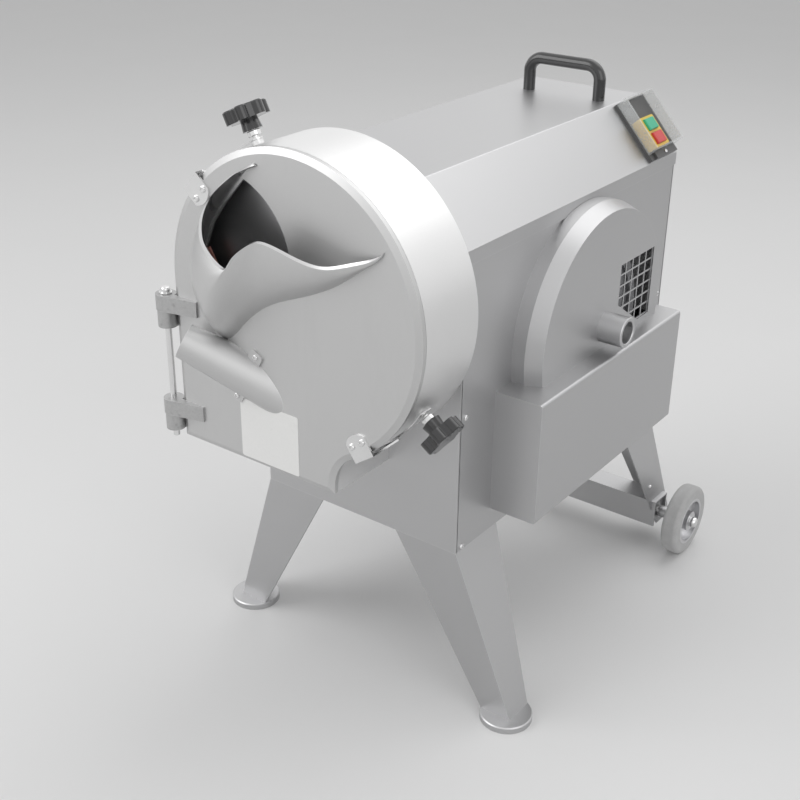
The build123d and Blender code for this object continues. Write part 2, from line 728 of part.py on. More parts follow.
def main_shaft():
    """Shaft from the nut in front of the disc to the blind bore of the gearbox."""
    front = DISC_FRONT - DISC_NUT
    length = gearbox_front() + GEARBOX_BORE - END_GAP - front
    shaft = rod((DRUM_X, front, DRUM_Z), (0, 1, 0), SHAFT_R, length)
    return chamfer(shaft.edges().filter_by(GeomType.CIRCLE), 1.5)


def disc_nut():
    """Hexagon nut that holds the knife disc on its shaft."""
    plane = Plane(origin=(DRUM_X, DISC_FRONT, DRUM_Z), z_dir=(0, -1, 0))
    nut = extrude(RegularPolygon(SHAFT_R * 1.7, 6) - Circle(SHAFT_R + SHAFT_CLEARANCE), DISC_NUT - 2)
    return plane * nut


def blade_plane(index):
    """Plane on the front of the disc with x along a blade, from the shaft outwards."""
    turn = math.radians(360 * index / BLADE_COUNT + BLADE_START)
    x_dir = (math.cos(turn), 0, math.sin(turn))
    return Plane(origin=(DRUM_X, DISC_FRONT, DRUM_Z), x_dir=x_dir, z_dir=(0, -1, 0))


def knife_disc():
    """Disc with a rear hub and one slot beside each blade."""
    back = DISC_FRONT + DISC_THICKNESS
    disc = shaft_ring(DISC_R, DISC_FRONT, back) + shaft_ring(DISC_HUB_R, back, back + DISC_HUB_DEPTH)
    for index in range(BLADE_COUNT):
        slot = SlotOverall(BLADE_LENGTH, SLOT_WIDTH)
        middle = BLADE_INNER_R + BLADE_LENGTH / 2
        cut = Pos(middle, 0, 0) * extrude(slot, DISC_THICKNESS * 2, both=True)
        disc -= blade_plane(index) * cut
    return disc


def slicing_blades():
    """Flat knives on the front of the disc, each with a ground edge over its slot."""
    knives = Part()
    reach = SLOT_WIDTH / 2 - BLADE_OVERHANG
    for index in range(BLADE_COUNT):
        side = polygon([
            (reach, 0), (reach + BLADE_WIDTH, 0), (reach + BLADE_WIDTH, BLADE_THICKNESS),
            (reach + 2 * BLADE_OVERHANG, BLADE_THICKNESS),
        ])
        knife = Plane.YZ.offset(BLADE_INNER_R) * extrude(side, BLADE_LENGTH)
        knives += blade_plane(index) * knife
    return knives


def blade_bolts():
    """Countersunk bolts that hold the blades."""
    heads = Part()
    middle = SLOT_WIDTH / 2 + BLADE_WIDTH * 0.6
    for index in range(BLADE_COUNT):
        plane = blade_plane(index)
        for share in (0.15, 0.5, 0.85):
            spot = plane.from_local_coords((BLADE_INNER_R + BLADE_LENGTH * share, middle, BLADE_THICKNESS))
            heads += screw(spot, (0, -1, 0))
    return heads


def ejector():
    """Paddle wheel behind the disc that throws the cuttings out of the tail."""
    front = DISC_FRONT + DISC_THICKNESS + EJECTOR_GAP
    hub_front = DISC_FRONT + DISC_THICKNESS + DISC_HUB_DEPTH
    back = front + EJECTOR_DEPTH
    wheel = shaft_ring(EJECTOR_HUB_R, hub_front, back)
    for index in range(EJECTOR_BLADES):
        paddle = block(
            (DISC_HUB_R + EJECTOR_GAP / 2, EJECTOR_R),
            (front, back),
            (-EJECTOR_THICKNESS / 2, EJECTOR_THICKNESS / 2),
        )
        wheel += Pos(DRUM_X, 0, DRUM_Z) * Rot(0, 45 + 360 * index / EJECTOR_BLADES, 0) * paddle
    return wheel


def bearing(plane, bore):
    """Flanged bearing housing; the plane lies on the inner face of the plate it is bolted to."""
    body = Pos(0, 0, -BEARING_NOSE) * rod((0, 0, 0), (0, 0, 1), BEARING_R, BEARING_LENGTH)
    body += rod((0, 0, 0), (0, 0, 1), BEARING_FLANGE_R, BEARING_FLANGE)
    return plane * (body - Cylinder(bore, 4 * BEARING_LENGTH))


def front_bearing_plane():
    return Plane(origin=(DRUM_X, SHEET, DRUM_Z), z_dir=(0, 1, 0))


def side_bearing_plane():
    return Plane(origin=(HOUSE_HALF - SHEET, CROSS_Y, CROSS_Z), z_dir=(-1, 0, 0))


def bearing_bolts():
    """Four bolt heads on each bearing flange."""
    heads = Part()
    middle = (BEARING_R + BEARING_FLANGE_R) / 2
    for plane in (front_bearing_plane(), side_bearing_plane()):
        for index in range(4):
            turn = math.radians(45 + 90 * index)
            place = Pos(middle * math.cos(turn), middle * math.sin(turn), BEARING_FLANGE)
            heads += plane * place * extrude(RegularPolygon(BOLT_R, 6), BOLT_HEAD)
    return heads


def cross_ring(radius, x_low, x_high, y=CROSS_Y, z=CROSS_Z, bore=CROSS_R):
    """A ring around the cross shaft or the motor shaft."""
    ring = rod((x_low, y, z), (1, 0, 0), radius, x_high - x_low)
    return ring - rod((x_low - 1, y, z), (1, 0, 0), bore + SHAFT_CLEARANCE, x_high - x_low + 2)


def cross_shaft():
    start = DRUM_X + GEARBOX_HALF + GEARBOX_BOSS - GEARBOX_BORE + END_GAP
    end = HOUSE_HALF + GUARD_DEPTH + CROSS_END
    shaft = rod((start, CROSS_Y, CROSS_Z), (1, 0, 0), CROSS_R, end - start)
    return chamfer(shaft.edges().filter_by(GeomType.CIRCLE), 1.5)


def gearbox():
    """Closed right-angle gearbox with a boss and a blind bore for each shaft."""
    half = GEARBOX_HALF
    z = (CROSS_Z - half - GEARBOX_MARGIN, DRUM_Z + half + GEARBOX_MARGIN)
    body = block((DRUM_X - half, DRUM_X + half), (CROSS_Y - half, CROSS_Y + half), z)
    body = fillet(body.edges().filter_by(Axis.Z), GEARBOX_CORNER)
    front = gearbox_front()
    side = DRUM_X + half + GEARBOX_BOSS
    body += rod((DRUM_X, front, DRUM_Z), (0, 1, 0), GEARBOX_BOSS_R, GEARBOX_BOSS + 1)
    body += rod((side, CROSS_Y, CROSS_Z), (-1, 0, 0), GEARBOX_BOSS_R, GEARBOX_BOSS + 1)
    body -= rod((DRUM_X, front, DRUM_Z), (0, 1, 0), SHAFT_R + SHAFT_CLEARANCE, GEARBOX_BORE)
    return body - rod((side, CROSS_Y, CROSS_Z), (-1, 0, 0), CROSS_R + SHAFT_CLEARANCE, GEARBOX_BORE)


def gearbox_stand():
    """Folded bridge that lifts the gearbox off the base pan."""
    low = BASE_Z + PAN_SHEET
    high = CROSS_Z - GEARBOX_HALF - GEARBOX_MARGIN
    x = (DRUM_X - GEARBOX_HALF, DRUM_X + GEARBOX_HALF)
    y = (CROSS_Y - GEARBOX_HALF + 5, CROSS_Y + STAND_REAR)
    stand = block(x, y, (low, high))
    return stand - block((x[0] + STAND_SHEET, x[1] - STAND_SHEET), (y[0] - 1, y[1] + 1), (low - 1, high - STAND_SHEET))


def pulley(radius, y, z, bore):
    """Grooved pulley with a hub on both sides of its web."""
    x = (PULLEY_X - PULLEY_WIDTH / 2, PULLEY_X + PULLEY_WIDTH / 2)
    groove = BELT_WIDTH / 2 + BELT_CLEARANCE
    wheel = cross_ring(radius, x[0], x[1], y, z, bore)
    belt_space = rod((PULLEY_X - groove, y, z), (1, 0, 0), radius + 1, 2 * groove)
    wheel -= belt_space - rod((PULLEY_X - groove, y, z), (1, 0, 0), radius - GROOVE_DEPTH, 2 * groove)
    dish = radius - GROOVE_DEPTH - PULLEY_RIM
    if dish > bore + 3 * PULLEY_RIM:
        for x_start in (x[0] - 1, PULLEY_X + PULLEY_WEB / 2):
            hollow = rod((x_start, y, z), (1, 0, 0), dish, (PULLEY_WIDTH - PULLEY_WEB) / 2 + 1)
            wheel -= hollow - rod((x_start, y, z), (1, 0, 0), bore + 2 * PULLEY_RIM, PULLEY_WIDTH)
    return wheel


def drive_belt():
    """Belt around both pulleys, as the band between two stretched loops."""
    loops = []
    for inset in (0, BELT_THICKNESS):
        big = Pos(CROSS_Y, CROSS_Z) * Circle(BIG_PULLEY_R - GROOVE_DEPTH + BELT_CLEARANCE + BELT_THICKNESS - inset)
        small = Pos(MOTOR_Y, MOTOR_Z) * Circle(SMALL_PULLEY_R - GROOVE_DEPTH + BELT_CLEARANCE + BELT_THICKNESS - inset)
        loops.append(make_hull(big.edges() + small.edges()))
    return side_solid(loops[0] - loops[1], PULLEY_X - BELT_WIDTH / 2, PULLEY_X + BELT_WIDTH / 2)


def motor():
    """Finned motor on two feet, with a blind bore for its shaft."""
    ribs = Circle(MOTOR_R - FIN_DEPTH)
    for index in range(MOTOR_FINS):
        ribs += Rot(0, 0, 360 * index / MOTOR_FINS) * Pos(MOTOR_R - FIN_DEPTH, 0) * Rectangle(2 * FIN_DEPTH, FIN_WIDTH)
    start = MOTOR_FRONT_X - MOTOR_LENGTH
    body = Pos(0, MOTOR_Y, MOTOR_Z) * side_solid(ribs, start + MOTOR_CAP, MOTOR_FRONT_X - MOTOR_CAP)
    for x in (start, MOTOR_FRONT_X - MOTOR_CAP):
        body += rod((x, MOTOR_Y, MOTOR_Z), (1, 0, 0), MOTOR_R, MOTOR_CAP)
    for x in (start + MOTOR_CAP, MOTOR_FRONT_X - MOTOR_CAP - MOTOR_FOOT):
        foot = block((x, x + MOTOR_FOOT), (MOTOR_Y - MOTOR_R, MOTOR_Y + MOTOR_R), (BASE_Z + PAN_SHEET, MOTOR_Z))
        body += foot
    return body - rod((MOTOR_FRONT_X, MOTOR_Y, MOTOR_Z), (-1, 0, 0), MOTOR_SHAFT_R + SHAFT_CLEARANCE, GEARBOX_BORE)


def motor_shaft():
    start = MOTOR_FRONT_X - GEARBOX_BORE + END_GAP
    end = PULLEY_X + PULLEY_WIDTH / 2 + 3
    return rod((start, MOTOR_Y, MOTOR_Z), (1, 0, 0), MOTOR_SHAFT_R, end - start)


def side_guard():
    """Round sheet guard over the large pulley, standing on the side box."""
    def turned(shrink):
        face_x = GUARD_DEPTH - shrink
        straight = GUARD_R - shrink
        low = -1 if shrink else 0
        outline = polygon([(low, 0), (low, straight), (GUARD_STRAIGHT, straight), (face_x, GUARD_FACE_R - shrink),
                           (face_x, 0)])
        cup = revolve(Plane.XY * outline, Axis.X)
        return Pos(HOUSE_HALF, CROSS_Y, CROSS_Z) * cup
    guard = turned(0) - turned(GUARD_SHEET)
    guard -= block((0, 400), (-100, 900), (0, BOX_Z[1]))
    lip = (EAVE_Z - COVER_LIP - LIP_CLEARANCE, EAVE_Z + SHEET)
    guard -= block((HOUSE_HALF - 1, HOUSE_HALF + SHEET + LIP_CLEARANCE), (-100, 900), lip)
    guard -= rod((HOUSE_HALF, CROSS_Y, CROSS_Z), (1, 0, 0), HUB_TUBE_R - HUB_TUBE_WALL, GUARD_DEPTH + 1)
    return guard - side_solid(grille_outline(0), HOUSE_HALF, HOUSE_HALF + GUARD_DEPTH + 1)


def grille_outline(margin):
    """Window in the guard face, with its lower front corner cut off."""
    y = (GRILLE_Y[0] - margin, GRILLE_Y[1] + margin)
    z = (GRILLE_Z[0] - margin, GRILLE_Z[1] + margin)
    return polygon([(y[0], z[1]), (y[0], z[0] + GRILLE_CUT[1]), (y[0] + GRILLE_CUT[0], z[0]), (y[1], z[0]), (y[1], z[1])])


def vent_grille():
    """Punched grille behind the window of the guard."""
    x_high = HOUSE_HALF + GUARD_DEPTH - GUARD_SHEET
    sheet = grille_outline(GRILLE_MARGIN)
    pitch_y = (GRILLE_Y[1] - GRILLE_Y[0]) / GRILLE_COLUMNS
    pitch_z = (GRILLE_Z[1] - GRILLE_Z[0]) / GRILLE_ROWS
    holes = [
        Pos(GRILLE_Y[0] + pitch_y * (column + 0.5), GRILLE_Z[0] + pitch_z * (row + 0.5))
        * Rectangle(pitch_y - GRILLE_WIRE, pitch_z - GRILLE_WIRE)
        for column in range(GRILLE_COLUMNS)
        for row in range(GRILLE_ROWS)
    ]
    sheet -= holes
    sheet += grille_outline(GRILLE_MARGIN) - grille_outline(0)
    sheet &= Pos(CROSS_Y, CROSS_Z) * Circle(GUARD_FACE_R - 2 * GUARD_SHEET)
    return side_solid(sheet, x_high - GRILLE_SHEET, x_high)


def hub_tube():
    """Tube around the end of the cross shaft, welded to the guard face."""
    start = HOUSE_HALF + GUARD_DEPTH
    tube = rod((start, CROSS_Y, CROSS_Z), (1, 0, 0), HUB_TUBE_R, HUB_TUBE_LENGTH)
    tube -= rod((start - 1, CROSS_Y, CROSS_Z), (1, 0, 0), HUB_TUBE_R - HUB_TUBE_WALL, HUB_TUBE_LENGTH + 2)
    return chamfer(tube.edges().filter_by(GeomType.CIRCLE).sort_by(Axis.X)[-2:], 1.0)


def side_box():
    """Folded box over the lower belt run, open to the housing and, under the guard, to the top."""
    x = (HOUSE_HALF, HOUSE_HALF + BOX_WIDTH)
    box = block(x, BOX_Y, BOX_Z)
    box = fillet(box.edges().filter_by(Axis.Y).sort_by(Axis.X)[-2:], BOX_CORNER)
    wall = BOX_SHEET
    box -= block((x[0] - 1, x[1] - wall), (BOX_Y[0] + wall, BOX_Y[1] - wall), (BOX_Z[0] + wall, BOX_Z[1] - wall))
    drop = CROSS_Z - BOX_Z[1]
    reach = math.sqrt((GUARD_R - GUARD_SHEET) ** 2 - drop ** 2) - 2 * BOX_SHEET
    top_x = (x[0] - 1, x[0] + GUARD_DEPTH - 2 * GUARD_SHEET)
    return box - block(top_x, (CROSS_Y - reach, CROSS_Y + reach), (BOX_Z[1] - wall - 1, BOX_Z[1] + 1))


def angle_section(corner, along, arms, z):
    """L-shaped section at a height; along gives the direction of the two arms from the corner."""
    cx, cy = corner
    sx, sy = along
    points = [
        (cx, cy), (cx + sx * arms, cy), (cx + sx * arms, cy + sy * LEG_SHEET),
        (cx + sx * LEG_SHEET, cy + sy * LEG_SHEET), (cx + sx * LEG_SHEET, cy + sy * arms), (cx, cy + sy * arms),
    ]
    return Wire(Polyline(*[(px, py, z) for px, py in points], close=True).edges())


def leg(side, top_y, bottom_y, spread, along_y, low_z, arms):
    """Folded leg that tapers from the corner of the housing to its foot."""
    top = angle_section((side * HOUSE_HALF, top_y), (-side, along_y), LEG_TOP, BASE_Z)
    bottom = angle_section((side * (HOUSE_HALF + spread), bottom_y), (-side, along_y), arms, low_z)
    return Part() + Solid.make_loft([bottom, top], ruled=True)


def front_leg(side):
    return leg(side, 0, FRONT_SETBACK, FRONT_SPREAD, 1, FOOT_HEIGHT, LEG_BOTTOM)


def rear_leg(side):
    """Rear leg, bored for the wheel axle."""
    plain = leg(side, HOUSE_DEPTH, HOUSE_DEPTH + REAR_LEAN, REAR_SPREAD, -1, REAR_FOOT_Z, LEG_BOTTOM)
    return plain - rod((-HOUSE_HALF * 2, AXLE_Y, AXLE_Z), (1, 0, 0), AXLE_R + BORE_CLEARANCE, HOUSE_HALF * 4)


def foot(side):
    """Round foot plate under a front leg."""
    x = side * (HOUSE_HALF + FRONT_SPREAD - FOOT_INSET)
    pad = rod((x, FRONT_SETBACK + FOOT_INSET, 0), (0, 0, 1), FOOT_R, FOOT_HEIGHT)
    return chamfer(pad.edges().sort_by(Axis.Z)[-1], 1.5)


def axle_beam():
    """Channel between the rear legs, open below, over the axle."""
    wide = HOUSE_HALF + REAR_SPREAD
    beam = block((-wide, wide), BEAM_Y, BEAM_Z)
    inner_y = (BEAM_Y[0] + LEG_SHEET, BEAM_Y[1] - LEG_SHEET)
    beam -= block((-wide, wide), inner_y, (0, BEAM_Z[1] - LEG_SHEET))
    for side in (-1, 1):
        beam -= leg(side, HOUSE_DEPTH, HOUSE_DEPTH + REAR_LEAN, REAR_SPREAD, -1, REAR_FOOT_Z, LEG_BOTTOM)
    return Part() + beam.solids().sort_by(SortBy.VOLUME)[-1]


def rear_axle():
    reach = WHEEL_X + WHEEL_WIDTH / 2 + NUT_LENGTH / 2
    return rod((-reach, AXLE_Y, AXLE_Z), (1, 0, 0), AXLE_R, 2 * reach)


def axle_nuts():
    """Acorn nuts on the axle ends."""
    nuts = Part()
    start = WHEEL_X + WHEEL_WIDTH / 2 + WHEEL_GAP
    for side in (-1, 1):
        nut = rod((side * start, AXLE_Y, AXLE_Z), (side, 0, 0), NUT_R, NUT_LENGTH)
        outer = nut.edges().sort_by(Axis.X)[-1 if side > 0 else 0]
        nuts += fillet(outer, NUT_R * 0.6)
    return nuts - axle_core()


def axle_core():
    """Space that the axle needs inside the nuts and sleeves."""
    reach = WHEEL_X + WHEEL_WIDTH / 2 + NUT_LENGTH / 2
    return rod((-reach, AXLE_Y, AXLE_Z), (1, 0, 0), AXLE_R + BORE_CLEARANCE, 2 * reach)


def axle_sleeves():
    """Spacer sleeves between the rear legs and the wheels."""
    sleeves = Part()
    for side in (-1, 1):
        x = sorted((side * (HOUSE_HALF + REAR_SPREAD), side * (WHEEL_X - WHEEL_WIDTH / 2 - WHEEL_GAP)))
        sleeves += rod((x[0], AXLE_Y, AXLE_Z), (1, 0, 0), SLEEVE_R, x[1] - x[0])
    return sleeves - axle_core()


def tyre(side):
    """Solid tyre with rounded shoulders."""
    x = side * WHEEL_X - WHEEL_WIDTH / 2
    ring = rod((x, AXLE_Y, AXLE_Z), (1, 0, 0), WHEEL_R, WHEEL_WIDTH)
    ring = fillet(ring.edges().filter_by(GeomType.CIRCLE), TYRE_SHOULDER)
    return ring - rod((x - 1, AXLE_Y, AXLE_Z), (1, 0, 0), RIM_R, WHEEL_WIDTH + 2)


def wheel_rim(side):
    """Dished rim with a long hub, bored for the axle."""
    x = side * WHEEL_X - WHEEL_WIDTH / 2
    rim = rod((x, AXLE_Y, AXLE_Z), (1, 0, 0), RIM_R, WHEEL_WIDTH)
    for start in (x - 1, x + (WHEEL_WIDTH + RIM_WEB) / 2):
        depth = (WHEEL_WIDTH - RIM_WEB) / 2 + 1
        dish = rod((start, AXLE_Y, AXLE_Z), (1, 0, 0), RIM_R - RIM_WALL, depth)
        rim -= dish - rod((start, AXLE_Y, AXLE_Z), (1, 0, 0), HUB_R, depth)
    return rim - rod((x - 1, AXLE_Y, AXLE_Z), (1, 0, 0), AXLE_R + BORE_CLEARANCE, WHEEL_WIDTH + 2)


def carry_handle():
    """Bent round bar on the top cover."""
    low = TOP_Z + SHEET
    high = low + HANDLE_HEIGHT - HANDLE_R
    x = (HANDLE_X - HANDLE_SPACING / 2, HANDLE_X + HANDLE_SPACING / 2)
    path = FilletPolyline(
        (x[0], HANDLE_Y, low), (x[0], HANDLE_Y, high), (x[1], HANDLE_Y, high), (x[1], HANDLE_Y, low),
        radius=HANDLE_BEND)
    return sweep(Plane(origin=path @ 0, z_dir=path % 0) * Circle(HANDLE_R), path)


def slope_plane():
    """Plane on the right shoulder of the cover: x runs down the slope, y to the rear."""
    down = Vector(HOUSE_HALF - RIDGE_HALF, 0, EAVE_Z - TOP_Z).normalized()
    out = Vector(-down.Z, 0, down.X)
    return Plane(origin=Vector(RIDGE_HALF, 0, TOP_Z) + out * SHEET, x_dir=down, z_dir=out)


def on_slope(s, y, lift):
    return slope_plane() * block(s, y, lift)


def switch_base():
    """Dark base of the switch unit, with a raised end that carries its screw."""
    base = on_slope(SWITCH_S, SWITCH_Y, (0, SWITCH_BASE))
    return base + on_slope((SWITCH_END_S, SWITCH_S[1]), SWITCH_END_Y, (0, SWITCH_END_HEIGHT))


def switch_guard():
    """Clear walls around the switch, open at the top."""
    s = (SWITCH_S[0], SWITCH_END_S)
    lift = (SWITCH_BASE, SWITCH_HEIGHT)
    outer = on_slope(s, SWITCH_Y, lift)
    wall = SWITCH_WALL
    inner_y = (SWITCH_Y[0] + wall, SWITCH_Y[1] - wall)
    return outer - on_slope((s[0] + wall, s[1] - wall), inner_y, (0, SWITCH_HEIGHT + 1))


def button_box(index, spread, lift):
    """Space of one button on the slope, grown by a clearance on its four sides."""
    middle_s = SWITCH_FRAME_S[0] + (SWITCH_FRAME_S[1] - SWITCH_FRAME_S[0]) * (0.27 + 0.46 * index)
    middle_y = (SWITCH_FRAME_Y[0] + SWITCH_FRAME_Y[1]) / 2
    half_s = BUTTON_LENGTH / 2 + spread
    half_y = BUTTON_WIDTH / 2 + spread
    return on_slope((middle_s - half_s, middle_s + half_s), (middle_y - half_y, middle_y + half_y), lift)


def switch_frame():
    """Frame around the two buttons, with a pocket for each."""
    frame = on_slope(SWITCH_FRAME_S, SWITCH_FRAME_Y, (SWITCH_BASE, SWITCH_FRAME_TOP))
    upright = [e for e in frame.edges() if abs(e.length - (SWITCH_FRAME_TOP - SWITCH_BASE)) < 0.01]
    frame = fillet(upright, 3.0)
    for index in range(2):
        frame -= button_box(index, BUTTON_CLEARANCE, (SWITCH_BASE + POCKET_FLOOR, SWITCH_FRAME_TOP + 1))
    return frame


def button(index):
    """Push button that stands proud of the frame and leaves room below for its travel."""
    low = SWITCH_BASE + POCKET_FLOOR + BUTTON_TRAVEL + BUTTON_CLEARANCE
    cap = button_box(index, 0, (low, SWITCH_FRAME_TOP + BUTTON_PROUD))
    top = cap.faces().sort_by(lambda face: slope_plane().to_local_coords(face.center()).Z)[-1]
    return chamfer(top.edges(), 1.0)


def switch_screw():
    middle = slope_plane().from_local_coords(
        ((SWITCH_END_S + SWITCH_S[1]) / 2, sum(SWITCH_END_Y) / 2, SWITCH_END_HEIGHT))
    return screw(middle, slope_plane().z_dir, 3.0)


def leg_screws():
    """Screws in the outer faces of the rear legs."""
    heads = Part()
    share = (BASE_Z - LEG_SCREW_Z) / (BASE_Z - REAR_FOOT_Z)
    lean = math.atan2(REAR_SPREAD, BASE_Z - REAR_FOOT_Z)
    for side in (-1, 1):
        x = side * (HOUSE_HALF + REAR_SPREAD * share)
        heads += screw((x, LEG_SCREW_Y, LEG_SCREW_Z), (side * math.cos(lean), 0, math.sin(lean)), 3.5)
    return heads


def supply_gland():
    """Cable gland in the rear plate, without a cable."""
    y = HOUSE_DEPTH
    gland = rod((GLAND_X, y - SHEET - GLAND_REACH / 2, GLAND_Z), (0, 1, 0), GLAND_R, SHEET + GLAND_REACH * 1.5)
    gland += Plane(origin=(GLAND_X, y, GLAND_Z), z_dir=(0, 1, 0)) * extrude(RegularPolygon(GLAND_R * 1.5, 6), 5)
    return gland - rod((GLAND_X, y + 1, GLAND_Z), (0, 1, 0), GLAND_R * 0.5, GLAND_REACH)


def export_node(name, shape):
    """Write one node, moved so that the origin lies under the middle of the machine."""
    placed = Pos(0, -CENTRE_Y, 0) * shape
    export_step(placed, os.path.join("parts", name + ".step"))


def both_sides(make):
    return make(-1) + make(1)


def upper_and_lower(make):
    return make("upper") + make("lower")


def nodes():
    """Every node of the machine, by name."""
    made = {
        "front_plate": front_plate(),
        "rear_plate": rear_plate(),
        "base_pan": base_pan(),
        "side_panels": both_sides(side_panel),
        "top_cover": top_cover(),
        "panel_screws": panel_screws() + leg_screws() + switch_screw(),
        "supply_gland": supply_gland(),
        "drum_casing": drum_casing() + upper_and_lower(knob_boss),
        "hinge_knuckles": hinge_knuckle(KNUCKLE_TOPS[0]) + hinge_knuckle(KNUCKLE_TOPS[1]),
        "hinge_pin": hinge_pin(),
        "acorn_nuts": pin_nut() + axle_nuts(),
        "door_pan": door_pan(),
        "door_seals": door_gasket() + feed_sill(),
        "hinge_arms": hinge_arm(KNUCKLE_TOPS[0]) + hinge_arm(KNUCKLE_TOPS[1]),
        "feed_scoop": feed_scoop(),
        "feed_tube": feed_tube(),
        "door_screws": tube_screws() + latch_screws() + latch_rivet(),
        "latch_brackets": upper_and_lower(latch_bracket),
        "latch_tongue_lower": lower_tongue(),
        "latch_tongue_upper": upper_tongue(),
        "main_shaft": main_shaft(),
        "knife_disc": knife_disc(),
        "slicing_blades": slicing_blades(),
        "disc_fasteners": blade_bolts() + disc_nut(),
        "ejector": ejector(),
        "front_bearing": bearing(front_bearing_plane(), SHAFT_R + SHAFT_CLEARANCE),
        "side_bearing": bearing(side_bearing_plane(), CROSS_R + SHAFT_CLEARANCE),
        "bearing_bolts": bearing_bolts(),
        "gearbox": gearbox(),
        "gearbox_stand": gearbox_stand(),
        "cross_shaft": cross_shaft(),
        "drive_pulley": pulley(BIG_PULLEY_R, CROSS_Y, CROSS_Z, CROSS_R),
        "motor": motor(),
        "motor_shaft": motor_shaft(),
        "motor_pulley": pulley(SMALL_PULLEY_R, MOTOR_Y, MOTOR_Z, MOTOR_SHAFT_R),
        "drive_belt": drive_belt(),
        "side_guard": side_guard(),
        "vent_grille": vent_grille(),
        "hub_tube": hub_tube(),
        "side_box": side_box(),
        "front_legs": both_sides(front_leg),
        "rear_legs": both_sides(rear_leg),
        "feet": both_sides(foot),
        "axle_beam": axle_beam(),
        "rear_axle": rear_axle(),
        "axle_sleeves": axle_sleeves(),
        "carry_handle": carry_handle(),
        "switch_base": switch_base(),
        "switch_guard": switch_guard(),
        "switch_frame": switch_frame(),
        "start_button": button(0),
        "stop_button": button(1),
    }
    for name in KNOB_ANGLES:
        made["clamp_stud_" + name] = clamp_stud(name)
        made["star_knob_" + name] = star_knob(name)
    for side, name in ((-1, "left"), (1, "right")):
        made["tyre_" + name] = tyre(side)
        made["wheel_rim_" + name] = wheel_rim(side)
    return made


if __name__ == "__main__":
    os.makedirs("parts", exist_ok=True)
    for node_name, node_shape in nodes().items():
        export_node(node_name, node_shape)
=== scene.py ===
"""Looks of the vegetable cutting machine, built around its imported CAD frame."""

import math

import bmesh
import bpy
from bpy.props import FloatProperty, FloatVectorProperty, IntProperty, PointerProperty
from mathutils import Matrix, Vector


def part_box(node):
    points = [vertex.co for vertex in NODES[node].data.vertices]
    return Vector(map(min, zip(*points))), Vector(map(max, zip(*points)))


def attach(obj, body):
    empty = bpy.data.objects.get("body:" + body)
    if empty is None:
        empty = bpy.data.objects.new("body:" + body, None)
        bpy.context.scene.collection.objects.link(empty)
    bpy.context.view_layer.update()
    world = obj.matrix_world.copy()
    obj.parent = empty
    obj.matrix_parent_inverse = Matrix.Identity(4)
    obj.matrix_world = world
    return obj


bl_info = {
    "name": "Vegetable cutting machine",
    "version": (1, 0, 0),
    "blender": (4, 5, 0),
    "location": "View3D > Sidebar > Cutting machine",
    "description": "Finishes, plates and small fittings of a vegetable cutting machine, and its stage",
    "category": "Object",
}

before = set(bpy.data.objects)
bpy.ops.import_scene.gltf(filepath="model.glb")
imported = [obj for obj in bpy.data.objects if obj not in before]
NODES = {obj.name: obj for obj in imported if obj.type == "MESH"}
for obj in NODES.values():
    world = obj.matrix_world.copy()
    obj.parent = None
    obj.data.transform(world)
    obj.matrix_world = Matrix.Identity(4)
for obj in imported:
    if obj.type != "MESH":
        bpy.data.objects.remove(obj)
MM = 0.001

# Places read from the frame, in metres
DOOR_LOW, DOOR_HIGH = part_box("door_pan")
COVER_LOW, COVER_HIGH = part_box("top_cover")
PANEL_LOW, PANEL_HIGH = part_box("side_panels")
GUARD_LOW, GUARD_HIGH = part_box("side_guard")
DRUM_LOW, DRUM_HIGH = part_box("drum_casing")
DISC_LOW, DISC_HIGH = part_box("knife_disc")
HUB_LOW, HUB_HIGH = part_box("hub_tube")
DISC_CENTRE = (DISC_LOW + DISC_HIGH) / 2


class Wire:
    """An output of a shader node. Operators on it add Math nodes."""

    def __init__(self, finish, socket):
        self.finish = finish
        self.socket = socket

    def maths(self, operation, first, second=0.0):
        return self.finish.node("ShaderNodeMath", {"operation": operation}, {0: first, 1: second})

    def __add__(self, other):
        return self.maths("ADD", self, other)

    def __radd__(self, other):
        return self.maths("ADD", other, self)

    def __sub__(self, other):
        return self.maths("SUBTRACT", self, other)

    def __rsub__(self, other):
        return self.maths("SUBTRACT", other, self)

    def __mul__(self, other):
        return self.maths("MULTIPLY", self, other)

    def __rmul__(self, other):
        return self.maths("MULTIPLY", other, self)

    def __truediv__(self, other):
        return self.maths("DIVIDE", self, other)

    def __rtruediv__(self, other):
        return self.maths("DIVIDE", other, self)

    def __pow__(self, other):
        return self.maths("POWER", self, other)

    def above(self, limit):
        """1 where the value is above a limit, otherwise 0."""
        return self.maths("GREATER_THAN", self, limit)

    def most(self, other):
        return self.maths("MAXIMUM", self, other)


